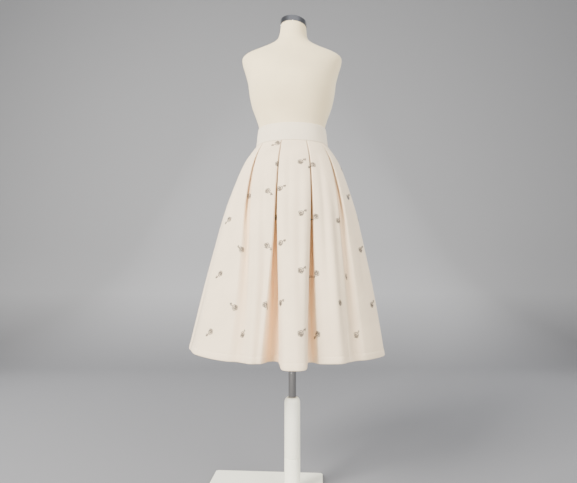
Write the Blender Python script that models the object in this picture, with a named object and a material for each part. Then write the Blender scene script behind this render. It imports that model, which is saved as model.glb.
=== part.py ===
"""Embroidered box-pleated midi skirt on a limbless dress form with an adjustable stand.

Metres, +Z up, the front faces -Y, the floor is z = 0 and the pole's axis is x = y = 0.
The skirt is a waistband, a front and two backs, with a concealed zip at the centre back.
Every cloth piece is a wall: a line of mid-surface points for each height, moved out and in.
A place round the cloth is a share of the way round: 0 at the centre back, 0.25 at the
left as seen from the front, 0.5 at the centre front and 0.75 at the right.
"""
import math

import bpy
import bmesh
from mathutils import Matrix, Vector

# Clearances
SEAM_GAP = 0.0003            # between two pieces that meet
FIT_GAP = 0.0003             # between the pole and its bores

# Stand
BASE_WIDTH = 0.395
BASE_DEPTH = 0.300
BASE_THICK = 0.012
BASE_OFFSET_X = -0.0950      # centre of the plate from the pole's axis
BASE_TURN = math.radians(-3.8)
BASE_CORNER = 0.004
POST_RADIUS = 0.0268
POST_JOIN_Z = 0.121          # seam between the lower and upper sleeve
POST_CAP_Z = 0.298           # top of the upper sleeve, where the cap starts
POST_TOP_Z = 0.318
POST_CAP_ROUNDING = (0.0105, 0.018)    # inwards and down
POST_GROOVE = 0.0018         # chamfer of each sleeve at their seam
POLE_RADIUS = 0.013
POLE_FOOT_Z = 0.222          # at rest the pole is 100 mm into the post
BORE_FOOT_Z = 0.014          # lowest point of the bore in the post
ROUND_SIDES = 32

# Dress form: one row for each height
FORM_SECTIONS = (
    # z, half width, front, back
    (0.952, 0.1400, 0.086, 0.090),
    (0.958, 0.1510, 0.096, 0.100),
    (0.975, 0.1580, 0.102, 0.106),
    (1.030, 0.1640, 0.106, 0.112),
    (1.085, 0.1540, 0.102, 0.106),
    (1.140, 0.1320, 0.0935, 0.0950),
    (1.193, 0.1200, 0.0875, 0.0875),
    (1.262, 0.1188, 0.0888, 0.0888),
    (1.300, 0.1290, 0.097, 0.092),
    (1.345, 0.1450, 0.112, 0.098),
    (1.390, 0.1550, 0.121, 0.104),
    (1.435, 0.1610, 0.116, 0.108),
    (1.480, 0.1730, 0.098, 0.106),
    (1.512, 0.1820, 0.080, 0.096),
    (1.534, 0.1800, 0.066, 0.085),
    (1.550, 0.1580, 0.058, 0.076),
    (1.564, 0.1200, 0.055, 0.068),
    (1.580, 0.0800, 0.055, 0.060),
    (1.596, 0.0600, 0.054, 0.052),
    (1.618, 0.0515, 0.053, 0.044),
    (1.651, 0.0472, 0.052, 0.038),
)
FORM_SIDES = 48
NECK_FOOT_Z = 1.55
NECK_LEAN = 0.0055           # the neck leans to the right
NECK_START_Z = 1.60          # where its tilt starts
NECK_TILT = math.radians(-6.0)    # the cap is lower on the right
NECK_CAP_RADIUS = 0.0488
NECK_CAP_THICK = 0.0215
NECK_CAP_LIP = 0.0015        # how far it stands out over the neck
SOCKET_RADIUS = 0.021
SOCKET_DROP = 0.045
FLANGE_RADIUS = 0.055
FLANGE_THICK = 0.006

# Cloth
CLOTH = 0.0020               # wall of the skirt
LAYER = 0.0028               # step from one folded layer to the next at the seam
BAND_CLOTH = 0.0032          # doubled and stiffened cloth of the waistband
BAND_TOP_Z = 1.258
BAND_HEIGHT = 0.0650
BAND_TOP_SIZE = (0.1209, 0.0909)       # half width and half depth of its mid-surface
BAND_FOOT_SIZE = (0.1279, 0.0956)
SKIRT_TOP_Z = BAND_TOP_Z - BAND_HEIGHT - SEAM_GAP
SKIRT_DROP = 0.722
HEM_TURN = 0.022             # height of the turned-up hem
HEM_EXTRA = 0.0012           # the turned-up layer's added thickness, inside
HEM_LEAN = -0.0185           # the hem hangs a little to the left
HEM_RISE = 0.014             # and is a little higher at that side
HEM_DIP = 0.008              # the centre front panel, which stands proud, hangs this much lower
DIP_REACH = 0.6              # the share of its crown over which the dip comes in
ROUNDNESS = 2.15             # exponent of the super-ellipse that every ring starts from

# How the skirt spreads below its seam: one row for each height
SPREAD = (
    # drop, half width, front, back
    (0.000, 0.1285, 0.0965, 0.0965),
    (0.020, 0.1430, 0.1040, 0.1050),
    (0.054, 0.1650, 0.1170, 0.1200),
    (0.100, 0.1850, 0.1330, 0.1390),
    (0.170, 0.2090, 0.1530, 0.1610),
    (0.250, 0.2320, 0.1720, 0.1820),
    (0.370, 0.2580, 0.1930, 0.2050),
    (0.480, 0.2810, 0.2100, 0.2230),
    (0.600, 0.3040, 0.2260, 0.2400),
    (0.722, 0.3260, 0.2400, 0.2540),
)

# Inverted pleats: where each lies at the seam and at the hem, and how its mouth opens
PLEAT_COLUMNS = (
    "at_seam", "at_hem", "mouth_mid", "mouth_hem", "depth_mid", "depth_hem",
    "open_by", "soft_left", "soft_right",
)
PLEATS = {
    "back_left_inner":  (0.065, 0.056, 0.010, 0.044, 0.036, 0.050, 0.85, 0.3, 0.7),
    "back_left_outer":  (0.208, 0.158, 0.030, 0.080, 0.022, 0.016, 0.50, 1.0, 1.0),
    "left_outer":       (0.345, 0.416, 0.032, 0.056, 0.016, 0.008, 0.50, 1.0, 1.0),
    "left_inner":       (0.449, 0.473, 0.014, 0.057, 0.038, 0.050, 0.85, 1.0, 0.0),
    "right_inner":      (0.569, 0.543, 0.013, 0.036, 0.038, 0.030, 0.85, 0.0, 1.0),
    "right_outer":      (0.656, 0.624, 0.036, 0.066, 0.016, 0.008, 0.50, 1.0, 1.0),
    "back_right_outer": (0.792, 0.842, 0.030, 0.080, 0.022, 0.016, 0.50, 1.0, 1.0),
    "back_right_inner": (0.935, 0.946, 0.010, 0.044, 0.036, 0.050, 0.85, 0.7, 0.3),
}
DRIFT = 2.2                  # how soon a pleat reaches its place at the hem
# How far each panel swells outwards at the hem, in the order of the pleats that end them
PANEL_CROWNS = (0.030, 0.014, 0.006, 0.006, 0.054, 0.012, 0.006, 0.014)
PANEL_BOXY = (2, 2, 2, 2, 6, 2, 2, 2)  # 2 is a soft arch, 6 stands up at its edges
MID_LEVEL = 0.45             # the share of the drop that the "mid" columns speak of
SLIT = 0.0034                # mouth of a closed pleat at the seam
UNDERLAY = 0.026             # how far each under-fold reaches behind its panel at the seam
LEVELS = (0.0, 0.028, 0.075, 0.14, 0.235, 0.345, 0.46, 0.58, 0.70, 0.81, 0.905)
PANEL_POINTS = 7             # an odd number, so that a seam can lie at a panel's middle
PLEAT_POINTS = 13

# Zip at the centre back
ZIP_GAP = 0.0008
ZIP_TAPE_WIDTH = 0.026
ZIP_TAPE_THICK = 0.0008
ZIP_ROWS = 5                 # it ends at this row of the skirt's levels
SLIDER_WIDTH = 0.0065
SLIDER_HEIGHT = 0.0095
SLIDER_THICK = 0.0030
PULL_LENGTH = 0.022
PULL_WIDTH = 0.0062
PULL_THICK = 0.0012
PIN_RADIUS = 0.0007
CHEEK_WALL = 0.0009
KNUCKLE_RADIUS = 0.0018
KNUCKLE_WIDTH = 0.0026
KNUCKLE_CLEAR = 0.0004       # between the knuckle and the slider behind it
SLIDER_BELOW_TOP = 0.004
SLIDER_PROUD = 0.0002
TAB_NECK_LENGTH = 0.0045
TAB_LAP = 0.0015             # how far the tab runs over its neck


def clear_scene():
    for item in list(bpy.data.objects):
        bpy.data.objects.remove(item, do_unlink=True)


def material(name, colour, roughness, metallic=0.0):
    made = bpy.data.materials.new(name)
    made.use_nodes = True
    shader = made.node_tree.nodes["Principled BSDF"]
    shader.inputs["Base Color"].default_value = (*colour, 1.0)
    shader.inputs["Roughness"].default_value = roughness
    shader.inputs["Metallic"].default_value = metallic
    return made


def add_object(name, mesh_data, finish, smooth_angle=math.radians(40)):
    mesh = bpy.data.meshes.new(name)
    mesh_data.to_mesh(mesh)
    mesh_data.free()
    mesh.materials.append(finish)
    mesh.shade_smooth()
    mesh.set_sharp_from_angle(angle=smooth_angle)
    made = bpy.data.objects.new(name, mesh)
    bpy.context.scene.collection.objects.link(made)
    return made


def blend_rows(rows, at):
    """The row at a height between two rows of a table, by a smooth curve through them."""
    places = [row[0] for row in rows]
    if at <= places[0]:
        return list(rows[0][1:])
    if at >= places[-1]:
        return list(rows[-1][1:])
    i = max(n for n in range(len(rows) - 1) if places[n] <= at)
    step = places[i + 1] - places[i]
    t = (at - places[i]) / step
    made = []
    for column in range(1, len(rows[0])):
        slopes = []
        for n in (i, i + 1):
            low, high = max(n - 1, 0), min(n + 1, len(rows) - 1)
            slopes.append((rows[high][column] - rows[low][column]) / (places[high] - places[low]))
        start, end = rows[i][column], rows[i + 1][column]
        made.append(
            (2 * t**3 - 3 * t**2 + 1) * start + (t**3 - 2 * t**2 + t) * step * slopes[0]
            + (3 * t**2 - 2 * t**3) * end + (t**3 - t**2) * step * slopes[1]
        )
    return made


def ring_point(turn, half_width, front, back):
    """A point of a super-ellipse; turn runs from 0 at the back, by the left, to 1."""
    angle = 2 * math.pi * turn
    side, face = -math.sin(angle), math.cos(angle)
    power = 2 / ROUNDNESS
    depth = back if face > 0 else front
    return Vector((
        half_width * math.copysign(abs(side) ** power, side),
        depth * math.copysign(abs(face) ** power, face),
    ))


class Ring:
    """A super-ellipse that is read by the share of its length, 0 at the centre back."""

    STEPS = 360

    def __init__(self, half_width, front, back, shift_x=0.0):
        self.points = [
            ring_point(n / self.STEPS, half_width, front, back) + Vector((shift_x, 0.0))
            for n in range(self.STEPS + 1)
        ]
        self.run = [0.0]
        for a, b in zip(self.points, self.points[1:]):
            self.run.append(self.run[-1] + (b - a).length)
        self.length = self.run[-1]

    def place(self, share):
        """(point, unit tangent, unit outward normal) at a share of the way round."""
        want = (share % 1.0) * self.length
        low, high = 0, self.STEPS
        while high - low > 1:
            middle = (low + high) // 2
            if self.run[middle] <= want:
                low = middle
            else:
                high = middle
        a, b = self.points[low], self.points[high]
        t = (want - self.run[low]) / (self.run[high] - self.run[low])
        before = self.points[low - 1 if low else self.STEPS - 1]
        after = self.points[high + 1 if high < self.STEPS else 1]
        tangent = ((b - before) * (1 - t) + (after - a) * t).normalized()
        return a.lerp(b, t), tangent, Vector((tangent.y, -tangent.x))


def ease(start, end, value):
    t = max(0.0, min(1.0, (value - start) / (end - start)))
    return t * t * (3 - 2 * t)


def through_mid(at_seam, mid, at_hem, level):
    """A size that is at_seam at 0, mid at MID_LEVEL and at_hem at 1."""
    rows = ((0.0, at_seam), (MID_LEVEL, mid), (1.0, at_hem))
    return blend_rows(rows, level)[0]


def pleat_share(pleat, level):
    row = dict(zip(PLEAT_COLUMNS, pleat))
    return row["at_hem"] + (row["at_seam"] - row["at_hem"]) * (1 - level) ** DRIFT


def pleat_half(mouth, depth, opened, softness):
    """From a panel's edge to the pleat's middle: folded when shut, then steep or soft."""
    under = UNDERLAY + mouth
    turn = LAYER / 2
    layer = depth / 2
    folded = (
        (-mouth - turn, 0.0), (-mouth, layer / 2), (-mouth - turn, layer), (-under + turn, layer),
        (-under, layer + layer / 2), (-under + turn, depth), (0.0, depth),
    )
    steep = (
        (-mouth - turn, 0.0), (-mouth, 0.08 * depth), (-0.96 * mouth, 0.30 * depth),
        (-0.88 * mouth, 0.60 * depth), (-0.74 * mouth, 0.84 * depth),
        (-0.45 * mouth, 0.97 * depth), (0.0, depth),
    )
    soft = (
        (-mouth - turn, 0.0), (-0.94 * mouth, 0.05 * depth), (-0.78 * mouth, 0.22 * depth),
        (-0.60 * mouth, 0.47 * depth), (-0.41 * mouth, 0.73 * depth),
        (-0.21 * mouth, 0.93 * depth), (0.0, depth),
    )
    shares = (1 - opened, opened * (1 - softness), opened * softness)
    return [
        tuple(sum(share * point[n] for share, point in zip(shares, points)) for n in (0, 1))
        for points in zip(folded, steep, soft)
    ]


def pleat_outline(pleat, level):
    """One inverted pleat as (along, inward) pairs, from one panel's edge to the next."""
    row = dict(zip(PLEAT_COLUMNS, pleat))
    mouth = through_mid(SLIT, row["mouth_mid"], row["mouth_hem"], level) / 2
    depth = through_mid(2 * LAYER, row["depth_mid"], row["depth_hem"], level)
    opened = ease(0.0, row["open_by"], level)
    left = pleat_half(mouth, depth, opened, row["soft_left"])
    right = pleat_half(mouth, depth, opened, row["soft_right"])
    return left + [(-along, inward) for along, inward in reversed(right[:-1])]


def panel_points(ring, start, end, crown, boxy):
    """Points of a panel between two shares, with more of them near its edges."""
    made = []
    for n in range(1, PANEL_POINTS + 1):
        across = -math.cos(math.pi * n / (PANEL_POINTS + 1))
        point, _, outward = ring.place((start + end) / 2 + across * (end - start) / 2)
        made.append(point + outward * crown * (1 - abs(across) ** boxy))
    return made


def cloth_line(level):
    """Mid-surface points round the skirt at a share of its drop, from the centre back."""
    half_width, front, back = blend_rows(SPREAD, level * SKIRT_DROP)
    ring = Ring(half_width, front, back, HEM_LEAN * level)
    pleats = list(PLEATS.values())
    made = []
    ends = []
    outlines = []
    for pleat in pleats:
        centre = pleat_share(pleat, level)
        outline = pleat_outline(pleat, level)
        reach = -outline[0][0] / ring.length
        ends.append((centre - reach, centre + reach))
        outlines.append((centre, outline))
    for n, (centre, outline) in enumerate(outlines):
        crown = PANEL_CROWNS[n] * level**1.5
        start = ends[n - 1][1] - (1.0 if n == 0 else 0.0)
        made += panel_points(ring, start, ends[n][0], crown, PANEL_BOXY[n])
        for along, inward in outline:
            point, _, outward = ring.place(centre + along / ring.length)
            made.append(point - outward * inward)
    return made


def offset_line(points, distance, closed=False):
    """The line moved to its right by a distance, which is outwards round the body."""
    made = []
    last = len(points) - 1
    for n, point in enumerate(points):
        before = points[n - 1] if n or closed else None
        after = points[(n + 1) % len(points)] if n < last or closed else None
        first = (point - before).normalized() if before else (after - point).normalized()
        second = (after - point).normalized() if after else first
        normals = [Vector((d.y, -d.x)) for d in (first, second)]
        average = (normals[0] + normals[1]).normalized()
        widen = min(1.3, 1 / max(0.5, average.dot(normals[0])))
        made.append(point + average * distance * widen)
    return made


def piece_line(line, first_panel, last_panel):
    """The points from the middle of one panel to the middle of another, less the seams."""
    block = PANEL_POINTS + PLEAT_POINTS
    middle = PANEL_POINTS // 2
    points = [
        line[n % len(line)].copy()
        for n in range(first_panel * block + middle, last_panel * block + middle + 1)
    ]
    gap = SEAM_GAP / 2
    points[0] += (points[1] - points[0]).normalized() * gap
    points[-1] += (points[-2] - points[-1]).normalized() * gap
    return points


def at_height(points, z):
    return [Vector((p.x, p.y, z)) for p in points]


def hung(points, level):
    """Skirt points at a share of its drop, with the hem's rise and dip."""
    half_width, front, _ = SPREAD[-1][1:]
    made = at_height(points, SKIRT_TOP_Z - level * SKIRT_DROP)
    for point in made:
        point.z += HEM_RISE * level**3 * max(0.0, -point.x / half_width) ** 3
        point.z -= HEM_DIP * ease(front, front + DIP_REACH * PANEL_CROWNS[4], -point.y)
    return made


def wall(mesh, rows):
    """A closed wall from rows of (outer points, inner points), bottom row first."""
    loops = [
        [mesh.verts.new(p) for p in outer] + [mesh.verts.new(p) for p in reversed(inner)]
        for outer, inner in rows
    ]
    for lower, upper in zip(loops, loops[1:]):
        for n in range(len(lower)):
            m = (n + 1) % len(lower)
            mesh.faces.new((lower[n], lower[m], upper[m], upper[n]))
    for section, is_top in ((loops[0], False), (loops[-1], True)):
        for n in range(len(section) // 2 - 1):
            face = (section[n], section[n + 1], section[-n - 2], section[-n - 1])
            mesh.faces.new(face if is_top else tuple(reversed(face)))


def skirt_piece(name, first_panel, last_panel, finish):
    mesh = bmesh.new()
    turn_level = 1 - HEM_TURN / SKIRT_DROP
    step = 0.002 / SKIRT_DROP
    hem = [(1.0, 0.0), (1.0 - step, HEM_EXTRA), (turn_level, HEM_EXTRA), (turn_level - step, 0.0)]
    rows = []
    for level, extra in hem + [(level, 0.0) for level in reversed(LEVELS)]:
        line = cloth_line(level)
        faces = [offset_line(line, offset, closed=True) for offset in (CLOTH / 2, -CLOTH / 2 - extra)]
        rows.append([hung(piece_line(face, first_panel, last_panel), level) for face in faces])
    wall(mesh, rows)
    return add_object(name, mesh, finish)


def waistband(finish):
    """A contoured band that is open only at the centre back, where the zip closes it."""
    mesh = bmesh.new()
    count = 72
    roll = 0.0012
    rows = []
    foot_z = BAND_TOP_Z - BAND_HEIGHT
    for height, inset in ((0.0, roll), (roll, 0.0), (0.5 * BAND_HEIGHT, 0.0),
                          (BAND_HEIGHT - roll, 0.0), (BAND_HEIGHT, roll)):
        t = height / BAND_HEIGHT
        size = [a + (b - a) * t for a, b in zip(BAND_FOOT_SIZE, BAND_TOP_SIZE)]
        ring = Ring(size[0], size[1], size[1])
        slack = ZIP_GAP / 2 / ring.length
        shares = [slack + (1 - 2 * slack) * n / count for n in range(count + 1)]
        line = [ring.place(share)[0] for share in shares]
        half = BAND_CLOTH / 2 - inset
        z = foot_z + height
        rows.append((at_height(offset_line(line, half), z), at_height(offset_line(line, -half), z)))
    wall(mesh, rows)
    return add_object("waistband", mesh, finish)


def turned(name, profile, finish, sides=ROUND_SIDES):
    """A solid of revolution about Z from (radius, z) pairs, foot first on the outside."""
    mesh = bmesh.new()
    rings = []
    for radius, z in profile:
        if radius == 0:
            rings.append([mesh.verts.new((0, 0, z))])
        else:
            rings.append([
                mesh.verts.new((
                    radius * math.cos(2 * math.pi * n / sides),
                    radius * math.sin(2 * math.pi * n / sides), z,
                ))
                for n in range(sides)
            ])
    for lower, upper in zip(rings, rings[1:] + rings[:1]):
        if len(lower) == len(upper) == 1:
            continue
        for n in range(sides):
            m = (n + 1) % sides
            if len(lower) == 1:
                mesh.faces.new((lower[0], upper[m], upper[n]))
            elif len(upper) == 1:
                mesh.faces.new((lower[n], lower[m], upper[0]))
            else:
                mesh.faces.new((lower[n], lower[m], upper[m], upper[n]))
    bmesh.ops.recalc_face_normals(mesh, faces=mesh.faces)
    return add_object(name, mesh, finish)


def base_plate(finish):
    mesh = bmesh.new()
    bmesh.ops.create_cube(mesh, size=1.0)
    bmesh.ops.scale(mesh, verts=mesh.verts, vec=(BASE_WIDTH, BASE_DEPTH, BASE_THICK))
    upright = [e for e in mesh.edges if abs(e.verts[0].co.z - e.verts[1].co.z) > BASE_THICK / 2]
    bmesh.ops.bevel(mesh, geom=upright, offset=BASE_CORNER, segments=3, affect="EDGES")
    rim = [
        e for e in mesh.edges
        if all(v.co.z > 0 for v in e.verts) and any(abs(f.normal.z) < 0.5 for f in e.link_faces)
        and any(f.normal.z > 0.5 for f in e.link_faces)
    ]
    bmesh.ops.bevel(mesh, geom=rim, offset=0.0015, segments=2, affect="EDGES")
    plate = add_object("base_plate", mesh, finish)
    plate.location = (BASE_OFFSET_X, 0.0, BASE_THICK / 2)
    plate.rotation_euler.z = BASE_TURN
    return plate


def stand(painted, chrome):
    bore = POLE_RADIUS + FIT_GAP
    foot = BASE_THICK + SEAM_GAP
    base_plate(painted)
    turned("post_lower", (
        (0.0, foot), (POST_RADIUS, foot), (POST_RADIUS, POST_JOIN_Z - POST_GROOVE),
        (POST_RADIUS - POST_GROOVE, POST_JOIN_Z), (bore, POST_JOIN_Z),
        (bore, BORE_FOOT_Z + 0.006), (0.0, BORE_FOOT_Z + 0.006),
    ), painted)
    joint = POST_JOIN_Z + SEAM_GAP
    turned("post_upper", (
        (bore, joint), (POST_RADIUS - POST_GROOVE, joint), (POST_RADIUS, joint + POST_GROOVE),
        (POST_RADIUS, POST_CAP_Z), (bore, POST_CAP_Z),
    ), painted)
    cap = POST_CAP_Z + SEAM_GAP
    inset, drop = POST_CAP_ROUNDING
    corner = [
        (POST_RADIUS - inset * (1 - math.cos(a)), POST_TOP_Z - drop * (1 - math.sin(a)))
        for a in (math.pi / 2 * n / 5 for n in range(6))
    ]
    turned("post_cap", ((bore, cap), (POST_RADIUS, cap), *corner, (bore, POST_TOP_Z)), painted)
    flange_top = FORM_SECTIONS[0][0] - SEAM_GAP
    flange_foot = flange_top - FLANGE_THICK
    ceiling = flange_foot + 0.001
    pole_top = ceiling - SEAM_GAP
    edge = 0.0010
    turned("pole", (
        (0.0, POLE_FOOT_Z), (POLE_RADIUS - edge, POLE_FOOT_Z), (POLE_RADIUS, POLE_FOOT_Z + edge),
        (POLE_RADIUS, pole_top - edge), (POLE_RADIUS - edge, pole_top), (0.0, pole_top),
    ), chrome)
    turned("socket", (
        (bore, flange_foot - SOCKET_DROP), (SOCKET_RADIUS, flange_foot - SOCKET_DROP),
        (SOCKET_RADIUS, flange_foot), (FLANGE_RADIUS, flange_foot),
        (FLANGE_RADIUS, flange_top), (0.0, flange_top), (0.0, ceiling), (bore, ceiling),
    ), chrome)


def loft(mesh, rings):
    """Skin between closed rings of equal size, bottom first, with flat ends."""
    loops = [[mesh.verts.new(p) for p in ring] for ring in rings]
    for lower, upper in zip(loops, loops[1:]):
        for n in range(len(lower)):
            m = (n + 1) % len(lower)
            mesh.faces.new((lower[n], lower[m], upper[m], upper[n]))
    mesh.faces.new(list(reversed(loops[0])))
    mesh.faces.new(loops[-1])


def dress_form(linen, chrome):
    """A smooth, limbless torso, and the metal disc that closes its neck."""
    mesh = bmesh.new()
    rings = []
    neck_z = FORM_SECTIONS[-1][0]
    for z, half_width, front, back in FORM_SECTIONS:
        lift = ease(NECK_START_Z, neck_z, z) * math.tan(NECK_TILT)
        lean = NECK_LEAN * ease(NECK_FOOT_Z, neck_z, z)
        ring = []
        for n in range(FORM_SIDES):
            p = ring_point(n / FORM_SIDES, half_width, front, back)
            ring.append((p.x + lean, p.y, z + p.x * lift))
        rings.append(ring)
    loft(mesh, rings)
    add_object("form", mesh, linen, math.radians(60))

    cap = bmesh.new()
    depth = (FORM_SECTIONS[-1][2] + FORM_SECTIONS[-1][3]) / 2
    centre_y = (FORM_SECTIONS[-1][3] - FORM_SECTIONS[-1][2]) / 2
    edge = 0.002
    rings = []
    for height, inset in ((0.0, 0.0), (NECK_CAP_THICK - edge, 0.0), (NECK_CAP_THICK, edge)):
        ring = []
        for n in range(ROUND_SIDES):
            angle = 2 * math.pi * n / ROUND_SIDES
            x = (NECK_CAP_RADIUS - inset) * math.cos(angle)
            y = centre_y + (depth + NECK_CAP_LIP - inset) * math.sin(angle)
            ring.append((x + NECK_LEAN, y, neck_z + SEAM_GAP + height + x * math.tan(NECK_TILT)))
        rings.append(ring)
    loft(cap, rings)
    add_object("neck_cap", cap, chrome)


def rounded_box(size, bevel):
    mesh = bmesh.new()
    bmesh.ops.create_cube(mesh, size=1.0)
    bmesh.ops.scale(mesh, verts=mesh.verts, vec=size)
    bmesh.ops.bevel(mesh, geom=mesh.edges[:], offset=bevel, segments=2, affect="EDGES")
    return mesh


def drum(mesh, centre, radius, width):
    """A closed cylinder along X added to a mesh."""
    made = bmesh.ops.create_cone(
        mesh, cap_ends=True, segments=16, radius1=radius, radius2=radius, depth=width,
    )
    turn = Matrix.Translation(centre) @ Matrix.Rotation(math.pi / 2, 4, "Y")
    bmesh.ops.transform(mesh, verts=made["verts"], matrix=turn)


def combine(target, tool, operation):
    """Join or cut one solid with another and keep the result under the first one's name."""
    step = target.modifiers.new(operation, "BOOLEAN")
    step.operation = operation
    step.solver = "EXACT"
    step.object = tool
    bpy.context.view_layer.objects.active = target
    bpy.ops.object.modifier_apply(modifier=step.name)
    bpy.data.objects.remove(tool, do_unlink=True)


def zip_tape(finish):
    """The zip's tape behind the centre back seam, on the inside of the two backs."""
    mesh = bmesh.new()
    inset = CLOTH / 2 + SEAM_GAP + ZIP_TAPE_THICK
    half = ZIP_TAPE_WIDTH / 2
    middle = PANEL_POINTS // 2
    rows = []
    for level in reversed(LEVELS[:ZIP_ROWS]):
        line = cloth_line(level)
        centre = line[middle]
        sides = [
            centre + (line[n] - centre).normalized() * half for n in (middle - 1, middle + 1)
        ]
        path = offset_line([sides[0], centre, sides[1]], -inset)
        outer = offset_line(path, ZIP_TAPE_THICK / 2)
        inner = offset_line(path, -ZIP_TAPE_THICK / 2)
        rows.append((hung(outer, level), hung(inner, level)))
    wall(mesh, rows)
    add_object("zip_tape", mesh, finish)


def zip_slider_and_pull(metal):
    """A slider outside the top of the waistband, and a tab that swings on its pin."""
    band_slope = (BAND_FOOT_SIZE[1] - BAND_TOP_SIZE[1]) / BAND_HEIGHT
    centre_z = BAND_TOP_Z - SLIDER_BELOW_TOP - SLIDER_HEIGHT / 2
    band_face = BAND_TOP_SIZE[1] + BAND_CLOTH / 2 + band_slope * (BAND_TOP_Z - centre_z)
    slider_y = band_face + SEAM_GAP + SLIDER_THICK / 2 + SLIDER_PROUD
    room = 2 * FIT_GAP
    pin_y = slider_y + SLIDER_THICK / 2 + KNUCKLE_RADIUS + KNUCKLE_CLEAR

    body = add_object(
        "zip_slider", rounded_box((SLIDER_WIDTH, SLIDER_THICK, SLIDER_HEIGHT), 0.0006), metal,
    )
    body.location = (0.0, slider_y, centre_z)
    for side in (-1, 1):
        depth = pin_y - slider_y + PIN_RADIUS + CHEEK_WALL
        cheek = add_object(
            "cheek", rounded_box((CHEEK_WALL, depth, 2 * (PIN_RADIUS + CHEEK_WALL)), 0.0002), metal,
        )
        aside = side * (KNUCKLE_WIDTH + CHEEK_WALL + room) / 2
        cheek.location = (aside, slider_y + depth / 2, centre_z)
        combine(body, cheek, "UNION")
    pin = bmesh.new()
    drum(pin, (0.0, pin_y, centre_z), PIN_RADIUS, KNUCKLE_WIDTH + room + CHEEK_WALL)
    combine(body, add_object("pin", pin, metal), "UNION")

    knuckle = bmesh.new()
    drum(knuckle, (0.0, 0.0, 0.0), KNUCKLE_RADIUS, KNUCKLE_WIDTH)
    pull = add_object("zip_pull", knuckle, metal)
    neck = add_object("neck", rounded_box((KNUCKLE_WIDTH, PULL_THICK, TAB_NECK_LENGTH), 0.0002), metal)
    neck.location = (0.0, 0.0, -TAB_NECK_LENGTH / 2)
    combine(pull, neck, "UNION")
    tab_length = PULL_LENGTH - TAB_NECK_LENGTH + TAB_LAP
    tab = add_object("tab", rounded_box((PULL_WIDTH, PULL_THICK * 1.1, tab_length), 0.0005), metal)
    tab.location = (0.0, 0.0, -PULL_LENGTH + tab_length / 2)
    combine(pull, tab, "UNION")
    eye = bmesh.new()
    drum(eye, (0.0, 0.0, 0.0), PIN_RADIUS + FIT_GAP, 2 * KNUCKLE_WIDTH)
    combine(pull, add_object("eye", eye, metal), "DIFFERENCE")
    pull.location = (0.0, pin_y, centre_z)


def main():
    clear_scene()
    cloth = material("cream_cloth", (0.86, 0.79, 0.70), 0.85)
    linen = material("cream_linen", (0.84, 0.78, 0.66), 0.90)
    painted = material("white_paint", (0.88, 0.87, 0.82), 0.40)
    chrome = material("chrome", (0.75, 0.75, 0.76), 0.12, 1.0)
    metal = material("zip_metal", (0.80, 0.74, 0.62), 0.35, 1.0)
    stand(painted, chrome)
    dress_form(linen, chrome)
    waistband(cloth)
    skirt_piece("skirt_back_left", 0, 2, cloth)
    skirt_piece("skirt_front", 2, 6, cloth)
    skirt_piece("skirt_back_right", 6, 8, cloth)
    zip_tape(cloth)
    zip_slider_and_pull(metal)


main()
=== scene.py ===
"""Looks of an embroidered box-pleated skirt on a limbless dress form with an adjustable stand.

Metres, +Z up, the front faces -Y, and the pole's axis is x = y = 0. A place round the cloth
is a share of the way round: 0 at the centre back, 0.25 at the left as seen from the front,
0.5 at the centre front. A level is a share of the skirt's drop, from the seam to the hem.
"""

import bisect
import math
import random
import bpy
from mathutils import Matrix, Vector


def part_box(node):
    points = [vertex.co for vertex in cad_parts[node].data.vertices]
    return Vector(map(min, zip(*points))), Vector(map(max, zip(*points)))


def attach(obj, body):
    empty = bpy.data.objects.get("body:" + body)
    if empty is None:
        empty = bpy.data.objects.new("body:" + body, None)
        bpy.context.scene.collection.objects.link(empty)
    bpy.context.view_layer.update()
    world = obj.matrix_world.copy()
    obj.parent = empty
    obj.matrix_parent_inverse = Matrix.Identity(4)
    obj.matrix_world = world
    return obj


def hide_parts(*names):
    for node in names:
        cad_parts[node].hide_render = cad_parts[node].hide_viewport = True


bl_info = {
    "name": "Embroidered Skirt on a Dress Form",
    "version": (1, 0, 0),
    "blender": (4, 5, 0),
    "location": "View3D > Sidebar > Skirt",
    "description": "Models the cloth, embroidery and finishes of a pleated skirt on its form",
    "category": "Object",
}

import bmesh
import bpy
from bpy.props import FloatProperty, FloatVectorProperty, IntProperty, PointerProperty
from bpy.types import Operator, Panel, PropertyGroup
from mathutils import Vector
from mathutils.bvhtree import BVHTree

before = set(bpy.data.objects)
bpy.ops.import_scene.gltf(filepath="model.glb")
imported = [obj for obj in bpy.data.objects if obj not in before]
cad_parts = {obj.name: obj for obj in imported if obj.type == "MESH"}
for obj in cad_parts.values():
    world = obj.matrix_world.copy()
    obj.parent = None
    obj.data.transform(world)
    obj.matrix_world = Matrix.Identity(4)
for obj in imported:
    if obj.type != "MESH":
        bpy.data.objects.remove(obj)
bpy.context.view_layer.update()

# Heights taken from the frame
SEAM_GAP = 0.0003
BAND_FOOT_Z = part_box("waistband")[0].z
BAND_TOP_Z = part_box("waistband")[1].z
SKIRT_TOP_Z = BAND_FOOT_Z - SEAM_GAP
SKIRT_DROP = 0.722
FORM_FOOT_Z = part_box("form")[0].z

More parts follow.
